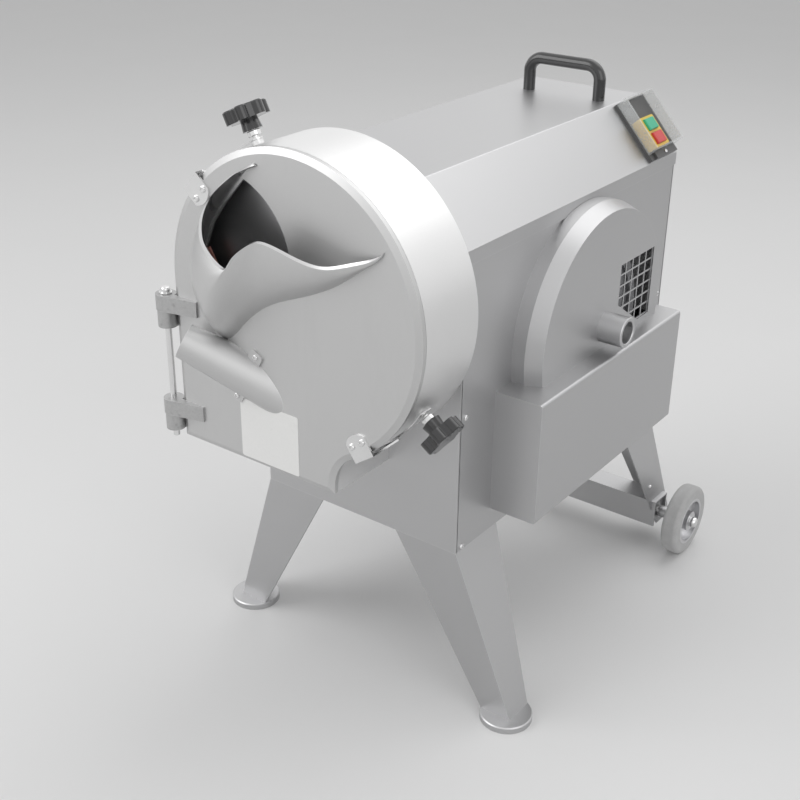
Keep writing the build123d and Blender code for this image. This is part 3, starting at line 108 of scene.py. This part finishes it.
class Finish:
    """A node tree of a material or a world, with one method that adds nodes to it."""

    def __init__(self, owner):
        owner.use_nodes = True
        self.owner = owner
        self.tree = owner.node_tree
        self.tree.nodes.clear()

    @staticmethod
    def find(sockets, key):
        if key is None:
            return next(s for s in sockets if s.enabled)
        if isinstance(key, int):
            return sockets[key]
        return next(s for s in sockets if s.name == key and s.enabled)

    def node(self, kind, settings=None, inputs=None, output=None):
        """Add a node, set its settings, then give its sockets their values or links."""
        made = self.tree.nodes.new(kind)
        for key, value in (settings or {}).items():
            if key == "stops":
                for stop in value[2:]:
                    made.color_ramp.elements.new(stop[0])
                for element, (position, level) in zip(made.color_ramp.elements, value):
                    element.position = position
                    element.color = (level, level, level, 1)
            else:
                setattr(made, key, value)
        for key, value in (inputs or {}).items():
            socket = self.find(made.inputs, key)
            if isinstance(value, Wire):
                self.tree.links.new(value.socket, socket)
            elif socket.type == "RGBA" and len(value) == 3:
                socket.default_value = (*value, 1)
            else:
                socket.default_value = value
        if not made.outputs:
            return None
        return Wire(self, self.find(made.outputs, output))

    def place(self):
        """Where a point is, in the row frame at rest, in metres."""
        return self.node("ShaderNodeTexCoord", output="Object")

    def moved(self, place, offset=(0, 0, 0), scale=(1, 1, 1), turn=(0, 0, 0)):
        return self.node("ShaderNodeMapping", {}, {
            "Vector": place, "Location": offset, "Rotation": turn, "Scale": scale})

    def noise(self, place, scale, detail=2.0, roughness=0.5):
        return self.node("ShaderNodeTexNoise", {}, {
            "Vector": place, "Scale": scale, "Detail": detail, "Roughness": roughness})

    def ramp(self, value, low, high):
        """A value stretched from low..high to 0..1, and held at both ends."""
        return self.node("ShaderNodeMapRange", {"clamp": True}, {
            "Value": value, "From Min": low, "From Max": high})

    def mix(self, factor, first, second):
        return self.node("ShaderNodeMix", {"data_type": "RGBA"}, {"Factor": factor, "A": first, "B": second})

    def bump(self, height, strength, distance):
        return self.node("ShaderNodeBump", {}, {"Height": height, "Strength": strength, "Distance": distance})

    def edge(self, width):
        """0 on flat areas, rising towards 1 on sharp edges."""
        soft = self.node("ShaderNodeBevel", {"samples": 4}, {"Radius": width})
        true = self.node("ShaderNodeNewGeometry", output="Normal")
        facing = self.node("ShaderNodeVectorMath", {"operation": "DOT_PRODUCT"}, {0: soft, 1: true}, "Value")
        return self.ramp(1 - facing, 0.02, 0.30)

    def surface(self, **sockets):
        """Close the material with a Principled shader; underscores stand for blanks."""
        named = {key.replace("_", " "): value for key, value in sockets.items()}
        shader = self.node("ShaderNodeBsdfPrincipled", {}, named)
        self.node("ShaderNodeOutputMaterial", {}, {"Surface": shader})
        return self.owner


def shade(colour, factor):
    """A colour made lighter or darker."""
    return tuple(min(1.0, part * factor) for part in colour)


def new_finish(name):
    return Finish(bpy.data.materials.new(name))


def sheet_steel(name, colour, roughness, grain=(1, 1, 60), streak=0.05, edge_highlight=0.35):
    """Satin stainless sheet: fine brushed streaks, soft clouding, and edges lightened as a painted highlight,
    with their roughness lowered as if rubbed.
    """
    finish = new_finish(name)
    place = finish.place()
    brushed = finish.noise(finish.moved(place, scale=grain), 22, 4, 0.6)
    fine = finish.noise(finish.moved(place, scale=grain), 120, 2, 0.7)
    cloud = finish.noise(place, 5.0, 3, 0.55)
    rubbed_and_highlit = finish.edge(1.2 * MM)
    tone = (brushed - 0.5) * streak * 2 + (cloud - 0.5) * 0.16 + 0.5
    plain = finish.mix(tone, shade(colour, 0.86), shade(colour, 1.14))
    # painted highlight: base colour lightened towards near-white along sharp edges; the same edge mask also
    # lowers the roughness
    edge_highlit_colour = finish.mix(rubbed_and_highlit * edge_highlight, plain, (0.86, 0.86, 0.87))
    return finish.surface(
        Base_Color=edge_highlit_colour,
        Metallic=1.0,
        Roughness=roughness + (brushed - 0.5) * 0.12 + (cloud - 0.5) * 0.10 - rubbed_and_highlit * 0.10,
        Normal=finish.bump(fine + brushed, 0.06, 0.2 * MM),
    )


def blasted_steel(name, colour, roughness, scale=900, edge_highlight=0.30):
    """Fine bead-blasted stainless: an even, slightly sparkling surface with faint handling marks, and a painted
    highlight along the edges.
    """
    finish = new_finish(name)
    place = finish.place()
    grit = finish.noise(place, scale, 2, 0.6)
    cloud = finish.noise(place, 4.0, 3, 0.6)
    marks = finish.ramp(finish.noise(finish.moved(place, scale=(1, 1, 0.35)), 16, 4, 0.7), 0.52, 0.80)
    rubbed_and_highlit = finish.edge(1.5 * MM)
    tone = (grit - 0.5) * 0.25 + (cloud - 0.5) * 0.22 - marks * 0.06 + 0.5
    plain = finish.mix(tone, shade(colour, 0.84), shade(colour, 1.16))
    # painted highlight: base colour lightened along sharp edges; the same edge mask also lowers the roughness
    edge_highlit_colour = finish.mix(rubbed_and_highlit * edge_highlight, plain, (0.88, 0.88, 0.88))
    return finish.surface(
        Base_Color=edge_highlit_colour,
        Metallic=1.0,
        Roughness=roughness + (grit - 0.5) * 0.14 + marks * 0.05 - rubbed_and_highlit * 0.12,
        Normal=finish.bump(grit, 0.10, 0.15 * MM),
    )


def cast_metal(name, colour, metallic, roughness, scale=260, depth=0.35):
    """A blasted casting: coarse grain, small pits, and a painted highlight along the edges."""
    finish = new_finish(name)
    place = finish.place()
    grain = finish.noise(place, scale, 4, 0.65)
    pits = finish.ramp(finish.noise(place, scale * 0.45, 2, 0.5), 0.60, 0.75)
    rubbed_and_highlit = finish.edge(1.5 * MM)
    tone = (grain - 0.5) * 0.7 + 0.5 - pits * 0.35
    plain = finish.mix(tone, shade(colour, 0.75), shade(colour, 1.25))
    # painted highlight: base colour lightened along sharp edges; the same edge mask also lowers the roughness
    edge_highlit_colour = finish.mix(rubbed_and_highlit * 0.30, plain, (0.80, 0.80, 0.80))
    return finish.surface(
        Base_Color=edge_highlit_colour,
        Metallic=metallic,
        Roughness=roughness + (grain - 0.5) * 0.2 - rubbed_and_highlit * 0.12,
        Normal=finish.bump(grain - pits, depth, 0.3 * MM),
    )


def polished_metal(name, colour, roughness):
    """Bright turned or rolled metal with faint fine scratches."""
    finish = new_finish(name)
    place = finish.place()
    scratch = finish.noise(finish.moved(place, scale=(1, 1, 18)), 160, 3, 0.7)
    cloud = finish.noise(place, 40, 2, 0.5)
    plain = finish.mix(cloud * 0.6 + scratch * 0.4, shade(colour, 0.88), shade(colour, 1.10))
    return finish.surface(
        Base_Color=plain,
        Metallic=1.0,
        Roughness=roughness + (scratch - 0.5) * 0.12,
        Normal=finish.bump(scratch, 0.05, 0.1 * MM),
    )


def turned_disc(name, colour, roughness, centre):
    """Machined aluminium with fine rings around the shaft."""
    finish = new_finish(name)
    place = finish.moved(finish.place(), offset=(-centre.x, 0, -centre.z))
    flat = finish.node("ShaderNodeVectorMath", {"operation": "MULTIPLY"}, {0: place, 1: (1, 0, 1)})
    radius = finish.node("ShaderNodeVectorMath", {"operation": "LENGTH"}, {0: flat}, "Value")
    rings = finish.noise(finish.node("ShaderNodeCombineXYZ", {}, {"X": radius}), 900, 3, 0.7)
    cloud = finish.noise(place, 12, 3, 0.6)
    plain = finish.mix((rings - 0.5) * 0.5 + (cloud - 0.5) * 0.5 + 0.5, shade(colour, 0.82), shade(colour, 1.15))
    return finish.surface(
        Base_Color=plain,
        Metallic=1.0,
        Roughness=roughness + (rings - 0.5) * 0.16,
        Normal=finish.bump(rings, 0.10, 0.1 * MM),
    )


def moulded_plastic(name, colour, roughness, scale=500, depth=0.03, coat=0.0):
    """Moulded plastic with a faint texture and a soft mottle."""
    finish = new_finish(name)
    place = finish.place()
    skin = finish.noise(place, scale, 2, 0.5)
    cloud = finish.noise(place, 30, 3, 0.6)
    plain = finish.mix((cloud - 0.5) * 0.8 + 0.5, shade(colour, 0.80), shade(colour, 1.25))
    return finish.surface(
        Base_Color=plain,
        Roughness=roughness + (cloud - 0.5) * 0.12 + (skin - 0.5) * 0.04,
        Coat_Weight=coat,
        Coat_Roughness=0.12,
        Normal=finish.bump(skin, depth, 0.2 * MM),
    )


def rubber(name, colour, roughness, scale=420):
    """Matt rubber with a dusty, slightly mottled skin."""
    finish = new_finish(name)
    place = finish.place()
    skin = finish.noise(place, scale, 3, 0.6)
    dust = finish.ramp(finish.noise(place, 45, 4, 0.7), 0.45, 0.85)
    plain = finish.mix(dust * 0.6 + (skin - 0.5) * 0.2, colour, shade(colour, 1.35))
    return finish.surface(
        Base_Color=plain,
        Roughness=roughness + dust * 0.08,
        Normal=finish.bump(skin, 0.12, 0.3 * MM),
    )


def clear_plastic(name, colour, roughness):
    """Clear moulded walls, slightly frosted by wiping."""
    finish = new_finish(name)
    place = finish.place()
    wiped = finish.noise(finish.moved(place, scale=(1, 3, 1)), 60, 3, 0.6)
    frosted = finish.edge(1.0 * MM)
    return finish.surface(
        Base_Color=finish.mix(wiped, shade(colour, 0.96), colour),
        Roughness=roughness + (wiped - 0.5) * 0.10,
        Alpha=0.30 + (wiped - 0.5) * 0.10 + frosted * 0.35,
        IOR=1.49,
    )


def printed_film(name, colour):
    """Plain coloured film on a plate, with a soft mottle and no print."""
    finish = new_finish(name)
    place = finish.place()
    mottle = finish.noise(place, 300, 3, 0.6)
    scuffs = finish.ramp(finish.noise(place, 55, 4, 0.7), 0.58, 0.82)
    return finish.surface(
        Base_Color=finish.mix(scuffs * 0.35 + (mottle - 0.5) * 0.3 + 0.1, colour, shade(colour, 0.82)),
        Roughness=0.34 + scuffs * 0.16,
        Coat_Weight=0.25,
        Coat_Roughness=0.20,
        Normal=finish.bump(mottle, 0.03, 0.1 * MM),
    )


FINISHES = {}


def finish_of(name):
    return FINISHES[name]


def make_finishes(tones):
    """Every material of the machine, by name."""
    steel = tuple(tones.housing)
    door = tuple(tones.door)
    FINISHES.update({
        "housing": sheet_steel("satin_housing_sheet", steel, 0.42),
        "cover": sheet_steel("satin_cover_sheet", steel, 0.40, (60, 1, 60)),
        "guard": sheet_steel("spun_guard_sheet", steel, 0.42),
        "legs": sheet_steel("satin_leg_sheet", steel, 0.42, (40, 40, 1)),
        # painted highlight: the drum wall takes a much lighter tone than the door's blasted steel
        "drum": blasted_steel("highlit_rolled_drum_wall", tuple(tones.drum), 0.45),
        "door": blasted_steel("blasted_door_sheet", door, 0.48),
        "scoop": blasted_steel("polished_scoop_shell", shade(door, 1.05), 0.36),
        "cast": cast_metal("blasted_casting", (0.46, 0.46, 0.46), 1.0, 0.48),
        "bright": polished_metal("bright_fastener_metal", (0.74, 0.74, 0.74), 0.20),
        "disc": turned_disc("machined_disc_metal", (0.62, 0.62, 0.63), 0.30, DISC_CENTRE),
        "iron": cast_metal("grey_cast_iron", (0.28, 0.28, 0.29), 0.9, 0.55),
        "paint": moulded_plastic("machine_paint", (0.20, 0.24, 0.30), 0.38, 320, 0.08, 0.4),
        "belt": rubber("belt_rubber", (0.03, 0.03, 0.03), 0.70),
        "seal": rubber("seal_rubber", (0.30, 0.12, 0.10), 0.62),
        "tyre": rubber("grey_tyre_rubber", tuple(tones.tyre), 0.60),
        "black": moulded_plastic("glossy_black_plastic", (0.015, 0.015, 0.016), 0.22, 240, 0.02, 0.6),
        "dark": moulded_plastic("dark_switch_plastic", (0.09, 0.09, 0.09), 0.45),
        "clear": clear_plastic("clear_guard_plastic", (0.80, 0.82, 0.82), 0.12),
        "yellow": moulded_plastic("yellow_frame_plastic", (0.80, 0.55, 0.08), 0.35),
        "green": moulded_plastic("green_button_plastic", (0.05, 0.48, 0.28), 0.30),
        "red": moulded_plastic("red_button_plastic", (0.65, 0.06, 0.06), 0.30),
        "white_film": printed_film("white_plate_film", (0.80, 0.80, 0.79)),
        "yellow_film": printed_film("yellow_plate_film", (0.83, 0.66, 0.06)),
        "red_film": printed_film("red_plate_film", (0.60, 0.06, 0.05)),
        "blue_film": printed_film("blue_plate_film", (0.06, 0.08, 0.30)),
    })


NODE_FINISHES = {
    "housing": ["front_plate", "rear_plate", "base_pan", "side_panels", "side_box"],
    "cover": ["top_cover"],
    "guard": ["side_guard", "vent_grille", "hub_tube"],
    "legs": ["front_legs", "rear_legs", "feet", "axle_beam", "axle_sleeves"],
    "drum": ["drum_casing"],
    "door": ["door_pan", "feed_tube"],
    "scoop": ["feed_scoop"],
    "cast": ["hinge_knuckles", "hinge_arms", "front_bearing", "side_bearing"],
    "bright": [
        "panel_screws", "door_screws", "hinge_pin", "acorn_nuts", "latch_brackets", "latch_tongue_lower",
        "latch_tongue_upper", "clamp_stud_upper", "clamp_stud_lower", "main_shaft", "cross_shaft",
        "motor_shaft", "rear_axle", "slicing_blades", "disc_fasteners", "bearing_bolts",
    ],
    "disc": ["knife_disc", "ejector", "wheel_rim_left", "wheel_rim_right"],
    "iron": ["gearbox", "drive_pulley", "motor_pulley"],
    "paint": ["motor", "gearbox_stand"],
    "belt": ["drive_belt"],
    "seal": ["door_seals"],
    "tyre": ["tyre_left", "tyre_right"],
    "black": ["star_knob_upper", "star_knob_lower", "carry_handle"],
    "dark": ["switch_base", "supply_gland"],
    "clear": ["switch_guard"],
    "yellow": ["switch_frame"],
    "green": ["start_button"],
    "red": ["stop_button"],
}


def point(x, y, z):
    """A place in the row frame, given in millimetres."""
    return Vector((x, y, z)) * MM


def add_piece(name, mesh, finish, body):
    """A mesh as a named piece of the machine that rides on a body."""
    piece = bpy.data.objects.new(name, mesh)
    bpy.context.scene.collection.objects.link(piece)
    mesh.materials.append(finish_of(finish))
    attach(piece, body)
    return piece


def mesh_from(build, name):
    """Run a function on an empty bmesh and return the mesh it makes."""
    work = bmesh.new()
    build(work)
    bmesh.ops.recalc_face_normals(work, faces=work.faces)
    mesh = bpy.data.meshes.new(name)
    work.to_mesh(mesh)
    work.free()
    return mesh


def smooth(piece, degrees=35):
    """Smooth shading, with edges sharper than an angle kept."""
    piece.data.shade_smooth()
    piece.data.set_sharp_from_angle(angle=math.radians(degrees))


def rounded_outline(width, height, radius, steps=4):
    """Corner-rounded rectangle around the origin, as 2-D points."""
    outline = []
    for index, (sx, sy) in enumerate(((1, 1), (-1, 1), (-1, -1), (1, -1))):
        for step in range(steps + 1):
            turn = math.radians(90 * (index + step / steps))
            outline.append((
                sx * (width / 2 - radius) + radius * math.cos(turn),
                sy * (height / 2 - radius) + radius * math.sin(turn),
            ))
    return outline


def plate_mesh(name, outline, place, thickness):
    """A thin flat plate with a slightly crowned rim; place maps (u, v, lift) to a point."""
    def build(work):
        rims = []
        for inset, lift in ((0, 0), (0, thickness * 0.7), (thickness * 0.5, thickness)):
            ring = []
            for u, v in outline:
                reach = math.hypot(u, v)
                share = 1 - inset / reach
                ring.append(work.verts.new(place(u * share, v * share, lift)))
            rims.append(ring)
        count = len(outline)
        for low, high in zip(rims, rims[1:]):
            for i in range(count):
                work.faces.new((low[i], low[(i + 1) % count], high[(i + 1) % count], high[i]))
        work.faces.new(rims[-1])
        work.faces.new(list(reversed(rims[0])))
    return mesh_from(build, name)


class PlateSizes(bpy.types.PropertyGroup):
    """Sizes of the plain plate on the door."""

    thickness: FloatProperty(
        name="Plate thickness", description="Thickness of the plain plates", default=0.0006, unit="LENGTH")
    corner: FloatProperty(
        name="Plate corner", description="Radius of the corners of the plates", default=0.003, unit="LENGTH")


class FinishTones(bpy.types.PropertyGroup):
    """Colours of the main finishes."""

    housing: FloatVectorProperty(
        name="Housing steel", description="Colour of the housing sheet", subtype="COLOR",
        default=(0.50, 0.50, 0.505), min=0, max=1)
    door: FloatVectorProperty(
        name="Door steel", description="Colour of the door and its feed parts", subtype="COLOR",
        default=(0.56, 0.56, 0.56), min=0, max=1)
    # painted highlight: the drum wall's default is a lighter copy of the stainless steel, standing in for the
    # light along its wall
    drum: FloatVectorProperty(
        name="Drum wall", description="Colour of the rolled drum wall", subtype="COLOR",
        default=(0.74, 0.74, 0.74), min=0, max=1)
    tyre: FloatVectorProperty(
        name="Tyre rubber", description="Colour of the tyres", subtype="COLOR",
        default=(0.45, 0.45, 0.45), min=0, max=1)


class StageSettings(bpy.types.PropertyGroup):
    """Camera, floor and lamps."""

    lens: FloatProperty(
        name="Lens", description="Focal length of the camera on a 36 mm sensor", default=56.2, unit="CAMERA")
    floor_tone: FloatProperty(
        name="Floor tone", description="Grey level of the floor", default=0.80, min=0, max=1)
    world_level: FloatProperty(
        name="Room light", description="Brightness of the room around the stage", default=0.50, min=0)
    key_power: FloatProperty(
        name="Key lamp", description="Power of the large lamp at the front left", default=60.0, unit="POWER")
    fill_power: FloatProperty(
        name="Fill lamp", description="Power of the lamp at the right", default=20.0, unit="POWER")
    top_power: FloatProperty(
        name="Top lamp", description="Power of the lamp above", default=30.0, unit="POWER")


class MACHINE_OT_finishes(bpy.types.Operator):
    """Give every node of the frame its finish"""

    bl_idname = "machine.finishes"
    bl_label = "Finish the machine"

    def execute(self, context):
        make_finishes(context.scene.machine_tones)
        for finish, names in NODE_FINISHES.items():
            for name in names:
                mesh = NODES[name].data
                mesh.materials.clear()
                mesh.materials.append(finish_of(finish))
        return {"FINISHED"}


class MACHINE_OT_plates(bpy.types.Operator):
    """Add the plain plate on the door"""

    bl_idname = "machine.plates"
    bl_label = "Add the plain plates"

    def execute(self, context):
        sizes = context.scene.machine_plates
        thick = sizes.thickness
        corner = sizes.corner
        door_y = DOOR_LOW.y

        def on_door(cx, cz):
            return lambda u, v, lift: Vector((cx + u, door_y - lift, cz + v))

        plate = plate_mesh("door_plate", rounded_outline(0.0996, 0.086, corner), on_door(-0.0538, 0.417), thick)
        add_piece("door_plate", plate, "white_film", "door")
        return {"FINISHED"}


class MACHINE_OT_stage(bpy.types.Operator):
    """Set the camera, the floor, the room light and the lamps"""

    bl_idname = "machine.stage"
    bl_label = "Set the stage"

    def execute(self, context):
        settings = context.scene.machine_stage
        scene = context.scene
        scene.view_settings.view_transform = "Standard"
        camera = bpy.data.objects.new("camera", bpy.data.cameras.new("camera"))
        scene.collection.objects.link(camera)
        camera.data.sensor_width = 36
        camera.data.lens = settings.lens
        camera.location = CAMERA_PLACE
        camera.rotation_euler = camera_turn().to_euler()
        camera.data.clip_end = 100
        scene.camera = camera
        self.room(scene, settings)
        self.floor(scene, settings)
        self.lamp(scene, "key_lamp", (-2.2, -2.6, 2.6), (3.0, 3.0), settings.key_power)
        self.lamp(scene, "fill_lamp", (2.8, -1.2, 1.8), (2.5, 2.5), settings.fill_power)
        self.lamp(scene, "top_lamp", (0.4, 1.6, 3.2), (3.0, 3.0), settings.top_power)
        return {"FINISHED"}

    @staticmethod
    def room(scene, settings):
        room = Finish(bpy.data.worlds.new("studio_room"))
        scene.world = room.owner
        camera_ray = room.node("ShaderNodeLightPath", output="Is Camera Ray")
        glossy_ray = room.node("ShaderNodeLightPath", output="Is Glossy Ray")
        clear_ray = room.node("ShaderNodeLightPath", output="Is Transmission Ray")
        seen = camera_ray.most(glossy_ray).most(clear_ray)
        level = settings.world_level
        light = room.node("ShaderNodeBackground", {}, {
            "Color": (1, 1, 1), "Strength": level + seen * (1 - level)})
        room.node("ShaderNodeOutputWorld", {}, {"Surface": light})

    @staticmethod
    def floor(scene, settings):
        def build(work):
            bmesh.ops.create_grid(work, x_segments=8, y_segments=8, size=12)
        mesh = mesh_from(build, "floor")
        piece = bpy.data.objects.new("floor", mesh)
        scene.collection.objects.link(piece)
        finish = new_finish("pale_floor")
        tone = settings.floor_tone
        mottle = finish.noise(finish.place(), 3, 2, 0.5)
        mesh.materials.append(finish.surface(
            Base_Color=finish.mix(mottle, (tone * 0.99,) * 3, (tone * 1.01,) * 3),
            Roughness=0.7,
            Specular_IOR_Level=0.2,
        ))

    @staticmethod
    def lamp(scene, name, place, size, power):
        light = bpy.data.lights.new(name, "AREA")
        light.shape = "RECTANGLE"
        light.size, light.size_y = size
        light.energy = power
        lamp = bpy.data.objects.new(name, light)
        scene.collection.objects.link(lamp)
        lamp.location = place
        lamp.rotation_euler = (Vector((0, 0, 0.45)) - Vector(place)).to_track_quat("-Z", "Y").to_euler()


CAMERA_PLACE = (0.9336, -1.3989, 1.1907)
CAMERA_AZIMUTH = 36.4
CAMERA_ELEVATION = 26.6
CAMERA_ROLL = 0.6


def camera_turn():
    """Rotation of the camera from its azimuth, elevation and roll."""
    azimuth = Matrix.Rotation(math.radians(CAMERA_AZIMUTH), 3, "Z")
    tilt = Matrix.Rotation(math.radians(90 - CAMERA_ELEVATION), 3, "X")
    roll = Matrix.Rotation(math.radians(CAMERA_ROLL), 3, "Z")
    return azimuth @ tilt @ roll


class MACHINE_PT_panel(bpy.types.Panel):
    """Settings and steps of the cutting machine"""

    bl_idname = "MACHINE_PT_panel"
    bl_label = "Cutting machine"
    bl_space_type = "VIEW_3D"
    bl_region_type = "UI"
    bl_category = "Cutting machine"

    def draw(self, context):
        for group in ("machine_tones", "machine_plates", "machine_stage"):
            settings = getattr(context.scene, group)
            for name in settings.__annotations__:
                self.layout.prop(settings, name)
        for step in STEPS:
            self.layout.operator(step.bl_idname)


GROUPS = {"machine_tones": FinishTones, "machine_plates": PlateSizes, "machine_stage": StageSettings}
STEPS = [MACHINE_OT_finishes, MACHINE_OT_plates, MACHINE_OT_stage]


def register():
    for group in GROUPS.values():
        bpy.utils.register_class(group)
    for name, group in GROUPS.items():
        setattr(bpy.types.Scene, name, PointerProperty(type=group))
    for step in STEPS:
        bpy.utils.register_class(step)
    bpy.utils.register_class(MACHINE_PT_panel)


def unregister():
    bpy.utils.unregister_class(MACHINE_PT_panel)
    for step in reversed(STEPS):
        bpy.utils.unregister_class(step)
    for name in GROUPS:
        delattr(bpy.types.Scene, name)
    for group in reversed(list(GROUPS.values())):
        bpy.utils.unregister_class(group)


def main():
    """Run every step in order."""
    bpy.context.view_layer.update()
    register()
    bpy.ops.machine.finishes()
    bpy.ops.machine.plates()
    bpy.ops.machine.stage()


if __name__ == "__main__":
    main()
